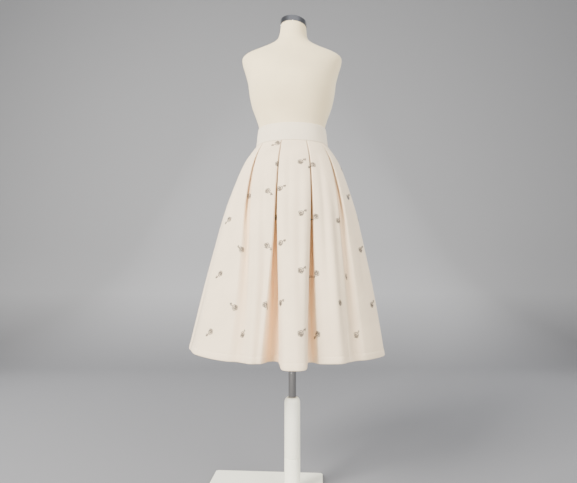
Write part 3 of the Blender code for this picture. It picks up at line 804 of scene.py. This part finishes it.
def flower_strokes(bloom, seed):
    """Strokes of a small open rose with a stem and two leaves; the stem runs along +X."""
    chance = random.Random(seed)
    strokes = []
    spiral = []
    for n in range(34):
        t = n / 33
        angle = 2 * math.pi * 1.9 * t + chance.uniform(-0.1, 0.1)
        radius = bloom * (0.16 + 0.52 * t) * (1 + 0.10 * math.sin(5 * angle))
        spiral.append((radius * math.cos(angle), radius * math.sin(angle)))
    strokes.append(spiral)
    for petal in range(5):
        middle = 2 * math.pi * (petal + 0.5) / 5 + chance.uniform(-0.12, 0.12)
        arc = []
        for n in range(9):
            t = n / 8 - 0.5
            radius = bloom * (0.78 + 0.24 * math.cos(math.pi * t))
            angle = middle + t * 1.35
            arc.append((radius * math.cos(angle), radius * math.sin(angle)))
        strokes.append(arc)
    stem = [(bloom * (0.95 + 1.45 * n / 9), bloom * 0.20 * math.sin(n / 9 * 2.6)) for n in range(10)]
    strokes.append(stem)
    for side, root, reach in ((1, 1.35, 0.95), (-1, 1.70, 0.80)):
        leaf = []
        for n in range(11):
            t = n / 10
            along = root + reach * 0.75 * math.sin(math.pi * t) ** 0.9 * (0.6 + 0.4 * t)
            away = side * reach * (0.10 + 0.72 * math.sin(math.pi * t * 0.98) * (0.45 + t * 0.6))
            leaf.append((bloom * along, bloom * away * 0.8))
        strokes.append(leaf)
    strokes.append([(bloom * (2.35 + 0.22 * math.cos(a)), bloom * (0.12 + 0.22 * math.sin(a)))
                    for a in (2 * math.pi * n / 8 for n in range(9))])
    return strokes


def stitch_flower(threads, tree, share, level, stem_degrees, seed):
    """One flower, laid on the outermost cloth at a share and level of the skirt."""
    ring = skirt_ring(level)
    point, outward = ring.place(share)
    z = SKIRT_TOP_Z - level * SKIRT_DROP
    far = Vector((point.x, point.y, z)) + Vector((outward.x, outward.y, 0.0)) * 0.15
    hit, normal, _, _ = tree.ray_cast(far, Vector((-outward.x, -outward.y, 0.0)), 0.3)
    if hit is None:
        return
    right = Vector((0, 0, 1)).cross(normal).normalized()
    up = normal.cross(right).normalized()
    turn = math.radians(stem_degrees)
    for stroke in flower_strokes(sizes().bloom, seed):
        path = []
        for x, y in stroke:
            a = x * math.cos(turn) - y * math.sin(turn)
            b = x * math.sin(turn) + y * math.cos(turn)
            near, face, _, _ = tree.find_nearest(hit + right * a + up * b)
            path.append((near + face * 0.0002, face))
        threads.lay(path, sizes().thread)


def tree_of(piece):
    mesh = piece.data
    return BVHTree.FromPolygons(
        [v.co.copy() for v in mesh.vertices], [tuple(p.vertices) for p in mesh.polygons],
    )


def flower_places():
    """(share, level, stem angle) of every flower round the skirt."""
    made = []
    for values in MOTIFS_IN_FRONT:
        row = dict(zip(MOTIF_COLUMNS, values))
        for n in range(row["count"]):
            level = (row["first_drop"] + n * MOTIF_PITCH) / SKIRT_DROP
            made.append((drifted(row["at_seam"], row["at_hem"], level), level, row["stem_degrees"]))
    for column, share in enumerate(BACK_SHARES):
        for n in range(4):
            level = (0.085 + (n + 0.5 * (column % 2)) * MOTIF_PITCH) / SKIRT_DROP
            if level < 0.93:
                made.append((share % 1.0, level, BACK_STEMS[column % len(BACK_STEMS)]))
    return made


def piece_at(share):
    """The cloth piece that covers a share of the way round."""
    if share < 0.289:
        return "skirt_back_left"
    return "skirt_front" if share < 0.732 else "skirt_back_right"


# Round pieces of the stand

def deselect():
    if bpy.context.object and bpy.context.object.mode != "OBJECT":
        bpy.ops.object.mode_set(mode="OBJECT")
    bpy.ops.object.select_all(action="DESELECT")


def spun(name, profile, material, closed, steps=96):
    """Spin a profile of (radius, z) points round the pole's axis."""
    deselect()
    mesh = bpy.data.meshes.new(name)
    edges = [(n, n + 1) for n in range(len(profile) - 1)]
    if closed:
        edges.append((len(profile) - 1, 0))
    mesh.from_pydata([(radius, 0.0, z) for radius, z in profile], edges, [])
    made = bpy.data.objects.new(name, mesh)
    bpy.context.scene.collection.objects.link(made)
    bpy.context.view_layer.objects.active = made
    made.select_set(True)
    bpy.ops.object.mode_set(mode="EDIT")
    bpy.ops.mesh.select_all(action="SELECT")
    bpy.ops.mesh.spin(steps=steps, angle=2 * math.pi, center=(0, 0, 0), axis=(0, 0, 1))
    bpy.ops.mesh.select_all(action="SELECT")
    bpy.ops.mesh.remove_doubles(threshold=0.00002)
    bpy.ops.mesh.normals_make_consistent(inside=False)
    bpy.ops.object.mode_set(mode="OBJECT")
    bpy.ops.object.shade_smooth_by_angle(angle=math.radians(35))
    made.data.materials.append(material)
    deselect()
    return made


def rounded(corner, radius, start, end, count=5):
    """Points of an arc round a corner's centre, from one angle to another, in degrees."""
    return [
        (corner[0] + radius * math.cos(math.radians(a)), corner[1] + radius * math.sin(math.radians(a)))
        for a in (start + (end - start) * n / count for n in range(count + 1))
    ]


class SKIRT_OT_form(Operator):
    """Cover the dress form with smooth linen and close its neck"""

    bl_idname = "skirt.form"
    bl_label = "Dress Form"

    def execute(self, context):
        linen = woven("cream_linen", colours().linen, 0.0011, 160.0, coordinates="Object")
        columns, rows = 112, 96
        verts = []
        neck_z = FORM_SECTIONS[-1][0]
        for row in range(rows + 1):
            z = FORM_FOOT_Z + (neck_z - FORM_FOOT_Z) * row / rows
            half_width, front, back = blend_rows(FORM_SECTIONS, z)
            lift = ease(NECK_START_Z, neck_z, z) * math.tan(NECK_TILT)
            lean = NECK_LEAN * ease(NECK_FOOT_Z, neck_z, z)
            for n in range(columns):
                p = ring_point(n / columns, half_width, front, back)
                verts.append((p.x + lean, p.y, z + p.x * lift))
        faces = []
        for row in range(rows):
            for n in range(columns):
                m = (n + 1) % columns
                a, b = row * columns, (row + 1) * columns
                faces.append((a + n, a + m, b + m, b + n))
        faces.append(tuple(reversed(range(columns))))
        faces.append(tuple(rows * columns + n for n in range(columns)))
        cover = add_mesh("form_cover", verts, faces, linen)
        cover.data.set_sharp_from_angle(angle=math.radians(60))
        finish_piece(cover, "figure", "linen", "form")
        return {"FINISHED"}


class SKIRT_OT_neck_cap(Operator):
    """Put the polished disc on the neck"""

    bl_idname = "skirt.neck_cap"
    bl_label = "Neck Cap"

    def execute(self, context):
        low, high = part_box("neck_cap")
        chrome = metal_material("neck_chrome", (0.56, 0.56, 0.58), 0.07)
        radius = (high.x - low.x) / 2
        thick = (high.z - low.z) - 2 * radius * math.tan(-NECK_TILT)
        edge = 0.0022
        profile = (
            [(0.0, 0.0), (radius - 0.0010, 0.0), (radius, 0.0010)]
            + rounded((radius - edge, thick - edge), edge, 0, 90)
            + [(radius * 0.80, thick), (radius * 0.78, thick - 0.0006), (0.0, thick - 0.0006)]
        )
        disc = spun("neck_disc", profile, chrome, False)
        deep = (high.y - low.y) / (high.x - low.x)
        centre_x, centre_y = (high.x + low.x) / 2, (high.y + low.y) / 2
        foot = FORM_SECTIONS[-1][0] + SEAM_GAP
        for vertex in disc.data.vertices:
            x = vertex.co.x
            z = foot + vertex.co.z + x * math.tan(NECK_TILT)
            vertex.co = (centre_x + x, centre_y + vertex.co.y * deep, z)
        finish_piece(disc, "figure", "chrome", "neck_cap")
        return {"FINISHED"}


class SKIRT_OT_stand(Operator):
    """Make the painted post, its cap and the polished pole and socket"""

    bl_idname = "skirt.stand"
    bl_label = "Stand"

    def execute(self, context):
        paint = paint_material()
        chrome = metal_material("pole_chrome", (0.36, 0.35, 0.34), 0.08)
        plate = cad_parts["base_plate"]
        plate.data.materials.clear()
        plate.data.materials.append(paint)
        bore = (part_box("pole")[1].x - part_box("pole")[0].x) / 2 + SEAM_GAP
        groove = POST_GROOVE
        for name in ("post_lower", "post_upper", "post_cap"):
            low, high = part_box(name)
            radius = (high.x - low.x) / 2
            if name == "post_lower":
                profile = [(0.0, low.z), (radius, low.z)] + rounded(
                    (radius - groove, high.z - groove), groove, 0, 90, 3)
                profile += [(bore, high.z), (bore, low.z + 0.008), (0.0, low.z + 0.008)]
            elif name == "post_upper":
                profile = [(bore, low.z)] + rounded((radius - groove, low.z + groove), groove, -90, 0, 3)
                profile += [(radius, high.z), (bore, high.z)]
            else:
                inset, drop = POST_CAP_ROUNDING
                profile = [(bore, low.z), (radius, low.z)]
                profile += [
                    (radius - inset * (1 - math.cos(a)), high.z - drop * (1 - math.sin(a)))
                    for a in (math.pi / 2 * n / 12 for n in range(13))
                ]
                profile += [(bore + 0.0012, high.z), (bore, high.z - 0.0012)]
            made = spun(name + "_finish", profile, paint, name != "post_lower")
            finish_piece(made, "stand", "white_paint", name)
        low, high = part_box("pole")
        radius, edge = (high.x - low.x) / 2, 0.0010
        profile = [(0.0, low.z)] + rounded((radius - edge, low.z + edge), edge, -90, 0, 3)
        profile += rounded((radius - edge, high.z - edge), edge, 0, 90, 3) + [(0.0, high.z)]
        pole = spun("pole_finish", profile, chrome, False)
        finish_piece(pole, "pole", "chrome", "pole")
        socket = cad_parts["socket"]
        socket.data.materials.clear()
        socket.data.materials.append(chrome)
        return {"FINISHED"}


class SKIRT_OT_waistband(Operator):
    """Sew the stiffened waistband"""

    bl_idname = "skirt.waistband"
    bl_label = "Waistband"

    def execute(self, context):
        cloth = woven("waistband_cloth", colours().band, 0.0010, 240.0)
        count = 240
        height = BAND_TOP_Z - BAND_FOOT_Z
        half = BAND_CLOTH / 2
        section = []
        for n in range(25):
            t = n / 24
            puff = 0.0005 * math.sin(math.pi * t) ** 0.6
            corner = min(1.0, math.sin(math.pi * min(max(t, 0.004), 0.996)) * 9) ** 0.5
            section.append((t, half * corner + puff - 0.0002, half * corner))
        verts, uvs = [], []
        for t, outer, inner in section:
            size = [a + (b - a) * t for a, b in zip(BAND_FOOT_SIZE, BAND_TOP_SIZE)]
            ring = Ring(size[0], size[1], size[1])
            slack = ZIP_GAP / 2 / ring.length
            for side, offset in ((1, outer), (-1, inner)):
                for n in range(count + 1):
                    share = slack + (1 - 2 * slack) * n / count
                    point, outward = ring.place(share)
                    ripple = 0.00035 * math.sin(share * 97 + t * 4) * math.sin(share * 31 + t * 9)
                    moved = point + outward * (side * offset + ripple * math.sin(math.pi * t))
                    verts.append((moved.x, moved.y, BAND_FOOT_Z + t * height))
                    uvs.append((share * ring.length, t * height))
        faces = []
        width = count + 1

        def at(row, inside, k):
            return (2 * row + inside) * width + k

        for row in range(len(section) - 1):
            for k in range(count):
                faces.append((at(row, 0, k), at(row, 0, k + 1), at(row + 1, 0, k + 1), at(row + 1, 0, k)))
                faces.append((at(row + 1, 1, k), at(row + 1, 1, k + 1), at(row, 1, k + 1), at(row, 1, k)))
            faces.append((at(row, 0, 0), at(row + 1, 0, 0), at(row + 1, 1, 0), at(row, 1, 0)))
            faces.append((at(row, 1, count), at(row + 1, 1, count), at(row + 1, 0, count), at(row, 0, count)))
        top = len(section) - 1
        for k in range(count):
            faces.append((at(0, 1, k), at(0, 1, k + 1), at(0, 0, k + 1), at(0, 0, k)))
            faces.append((at(top, 0, k), at(top, 0, k + 1), at(top, 1, k + 1), at(top, 1, k)))
        band = add_mesh("waistband_cloth", verts, faces, cloth)
        set_uv(band, uvs)
        finish_piece(band, "figure", "cloth", "waistband")
        around = Ring(BAND_FOOT_SIZE[0], BAND_FOOT_SIZE[1], BAND_FOOT_SIZE[1]).length
        return {"FINISHED"}


class SKIRT_OT_panels(Operator):
    """Hang the front and the two backs, with their pleats, creases and turned hem"""

    bl_idname = "skirt.panels"
    bl_label = "Skirt Pieces"

    def execute(self, context):
        # the cloth's colour is blended with the painted shade of the pleats
        cloth = woven(
            "cream_skirt_cloth", colours().cloth, 0.0009, 260.0, pleat_shade_colour=tuple(colours().pleat_shade),
        )
        levels = cloth_levels()
        for node, (first, last) in PIECES.items():
            piece = skirt_shell(node + "_cloth", first, last, levels, cloth)
            finish_piece(piece, "figure", "cloth", node)
            ends = [(panel * BLOCK + MIDDLE) * sizes().refine for panel in (first, last)]
            wide, narrow = (levels[row].stretch(*ends) for row in (-3, 1))
        return {"FINISHED"}


class SKIRT_OT_embroidery(Operator):
    """Stitch the scattered flowers"""

    bl_idname = "skirt.embroidery"
    bl_label = "Embroidery"

    def execute(self, context):
        thread = thread_material()
        trees = {node: tree_of(bpy.data.objects[node + "_cloth"]) for node in PIECES}
        meshes = {node: ThreadMesh() for node in PIECES}
        for seed, (share, level, stem) in enumerate(flower_places()):
            node = piece_at(share)
            stitch_flower(meshes[node], trees[node], share, level, stem, seed)
        for node, threads in meshes.items():
            made = add_mesh(node.replace("skirt", "flowers"), threads.verts, threads.faces, thread)
            finish_piece(made, "figure", "cloth")
        return {"FINISHED"}


class SKIRT_OT_stitches(Operator):
    """Sew the hem's stitches and the zip's teeth"""

    bl_idname = "skirt.stitches"
    bl_label = "Hem Stitches and Zip Teeth"

    def execute(self, context):
        pale, _ = new_material("hem_thread", [c * 0.92 for c in colours().cloth], 0.7)
        level = ClothLevel(1 - sizes().hem_turn / SKIRT_DROP, CLOTH / 2 - 0.0003, CLOTH / 2)
        threads = ThreadMesh()
        pitch, length = 0.0075, 0.0028
        place = 0.004
        while place < level.run[-1] - length:
            path = []
            for step in range(3):
                n = bisect.bisect_right(level.run, place + length * step / 2) - 1
                t = (place + length * step / 2 - level.run[n]) / (level.run[n + 1] - level.run[n])
                a, b = level.outer[n], level.outer[n + 1]
                along = (b - a).normalized()
                path.append((hang(a.lerp(b, t), level.level), Vector((along.y, -along.x, 0.0))))
            threads.lay(path, 0.00028)
            place += pitch
        hem = add_mesh("hem_stitches", threads.verts, threads.faces, pale)
        finish_piece(hem, "figure", "cloth")

        metal = metal_material("zip_metal_finish", (0.72, 0.66, 0.54), 0.3)
        for node in ("zip_slider", "zip_pull"):
            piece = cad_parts[node]
            piece.data.materials.clear()
            piece.data.materials.append(metal)
        tape_low, tape_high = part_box("zip_tape")
        teeth = ThreadMesh()
        z = tape_high.z - 0.002
        while z > tape_low.z + 0.002:
            centre = ClothLevel((SKIRT_TOP_Z - z) / SKIRT_DROP, 0.0, CLOTH / 2 + 0.0016)
            middle = centre.inner[MIDDLE * sizes().refine]
            inward = Vector((0.0, -1.0, 0.0))
            path = [(Vector((middle.x + x, middle.y, z)), inward) for x in (-0.0015, 0.0, 0.0015)]
            teeth.lay(path, 0.0005)
            z -= 0.0024
        row = add_mesh("zip_teeth", teeth.verts, teeth.faces, metal)
        finish_piece(row, "figure", "zip_metal")
        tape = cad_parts["zip_tape"]
        tape.data.materials.clear()
        tape.data.materials.append(woven("zip_tape_weave", colours().band, 0.0006, 300.0, coordinates="Object"))
        return {"FINISHED"}


def area_light(name, place, target, size, power, colour):
    light = bpy.data.lights.new(name, "AREA")
    light.shape = "RECTANGLE"
    light.size, light.size_y = size
    light.energy = power
    light.color = colour
    made = bpy.data.objects.new(name, light)
    made.location = place
    made.rotation_euler = (Vector(target) - Vector(place)).to_track_quat("-Z", "Y").to_euler()
    bpy.context.scene.collection.objects.link(made)


class SKIRT_OT_studio(Operator):
    """Set the pale floor and wall, the soft lights and the camera"""

    bl_idname = "skirt.studio"
    bl_label = "Studio"

    def execute(self, context):
        paper, shader = new_material("studio_paper", colours().floor, 0.9)
        place = add_node(paper, "ShaderNodeTexCoord")
        split = add_node(paper, "ShaderNodeSeparateXYZ")
        rise = add_node(paper, "ShaderNodeMapRange", From_Min=0.0, From_Max=0.6)
        tone = mixed_colour(paper, rise.outputs["Result"], colours().floor, colours().wall)
        join_up(
            paper, (place.outputs["Object"], split.inputs[0]), (split.outputs["Z"], rise.inputs["Value"]),
            (tone.outputs[2], shader.inputs["Base Color"]),
        )
        bend, back, front, side, high = 1.1, 3.2, -9.0, 9.0, 6.0
        profile = [(front, 0.0), (back - bend, 0.0)]
        profile += [
            (back - bend + bend * math.sin(a), bend - bend * math.cos(a))
            for a in (math.pi / 2 * n / 12 for n in range(1, 13))
        ]
        profile.append((back, high))
        verts = [(x, y, z - 0.0006) for y, z in profile for x in (-side, side)]
        faces = [(2 * n, 2 * n + 1, 2 * n + 3, 2 * n + 2) for n in range(len(profile) - 1)]
        add_mesh("studio_floor", verts, faces, paper)

        middle = (0.0, 0.0, 0.9)
        area_light("key", (-2.4, -2.2, 2.4), middle, (1.4, 1.4), 390.0, (1.0, 0.98, 0.95))
        area_light("fill", (2.4, -2.4, 1.5), middle, (2.0, 2.0), 120.0, (1.0, 0.99, 0.98))
        area_light("low_fill", (0.2, -2.8, 0.3), (0.0, 0.0, 0.7), (2.2, 0.8), 44.0, (1.0, 0.97, 0.93))
        area_light("back_left", (-2.2, 1.9, 2.2), middle, (1.2, 1.8), 70.0, (0.97, 0.98, 1.0))
        area_light("back_right", (2.2, 1.9, 2.2), middle, (1.2, 1.8), 70.0, (0.97, 0.98, 1.0))
        area_light("pole_strip", (-0.42, -1.15, 0.26), (0.0, 0.0, 0.4), (0.07, 0.5), 1.6, (1.0, 0.98, 0.95))
        world = bpy.data.worlds.new("studio_air")
        context.scene.world = world
        world.use_nodes = True
        sky = world.node_tree.nodes["Background"]
        sky.inputs["Color"].default_value = (0.93, 0.95, 1.0, 1.0)
        way = add_node(world, "ShaderNodeTexCoord")
        parts = add_node(world, "ShaderNodeSeparateXYZ")
        aside = add_node(world, "ShaderNodeMath", {"operation": "ABSOLUTE"})
        strength = add_node(world, "ShaderNodeMapRange", From_Min=0.45, From_Max=0.8, To_Min=0.55, To_Max=0.20)
        join_up(
            world, (way.outputs["Generated"], parts.inputs[0]), (parts.outputs["X"], aside.inputs[0]),
            (aside.outputs[0], strength.inputs["Value"]), (strength.outputs["Result"], sky.inputs["Strength"]),
        )

        camera = bpy.data.cameras.new("camera")
        camera.lens = CAMERA_LENS
        camera.sensor_width = CAMERA_SENSOR
        made = bpy.data.objects.new("camera", camera)
        made.location = CAMERA_PLACE
        made.rotation_euler = (math.pi / 2 + CAMERA_PITCH, 0.0, 0.0)
        context.scene.collection.objects.link(made)
        context.scene.camera = made
        return {"FINISHED"}


OPERATORS = (
    SKIRT_OT_form, SKIRT_OT_neck_cap, SKIRT_OT_stand, SKIRT_OT_waistband, SKIRT_OT_panels,
    SKIRT_OT_embroidery, SKIRT_OT_stitches, SKIRT_OT_studio,
)


class SKIRT_PT_sidebar(Panel):
    """Sizes, colours and steps of the skirt"""

    bl_idname = "SKIRT_PT_sidebar"
    bl_label = "Embroidered Skirt"
    bl_space_type = "VIEW_3D"
    bl_region_type = "UI"
    bl_category = "Skirt"

    def draw(self, context):
        for group in (context.scene.skirt_sizes, context.scene.skirt_colours):
            for name in group.bl_rna.properties.keys():
                if name not in ("rna_type", "name"):
                    self.layout.prop(group, name)
        for operator in OPERATORS:
            self.layout.operator(operator.bl_idname)


CLASSES = (SkirtSizes, SkirtColours, *OPERATORS, SKIRT_PT_sidebar)


def register():
    for item in CLASSES:
        bpy.utils.register_class(item)
    bpy.types.Scene.skirt_sizes = PointerProperty(type=SkirtSizes)
    bpy.types.Scene.skirt_colours = PointerProperty(type=SkirtColours)


def unregister():
    del bpy.types.Scene.skirt_colours
    del bpy.types.Scene.skirt_sizes
    for item in reversed(CLASSES):
        bpy.utils.unregister_class(item)


def main():
    register()
    bpy.ops.skirt.form()
    bpy.ops.skirt.neck_cap()
    bpy.ops.skirt.stand()
    bpy.ops.skirt.waistband()
    bpy.ops.skirt.panels()
    bpy.ops.skirt.embroidery()
    bpy.ops.skirt.stitches()
    bpy.ops.skirt.studio()


if __name__ == "__main__":
    main()
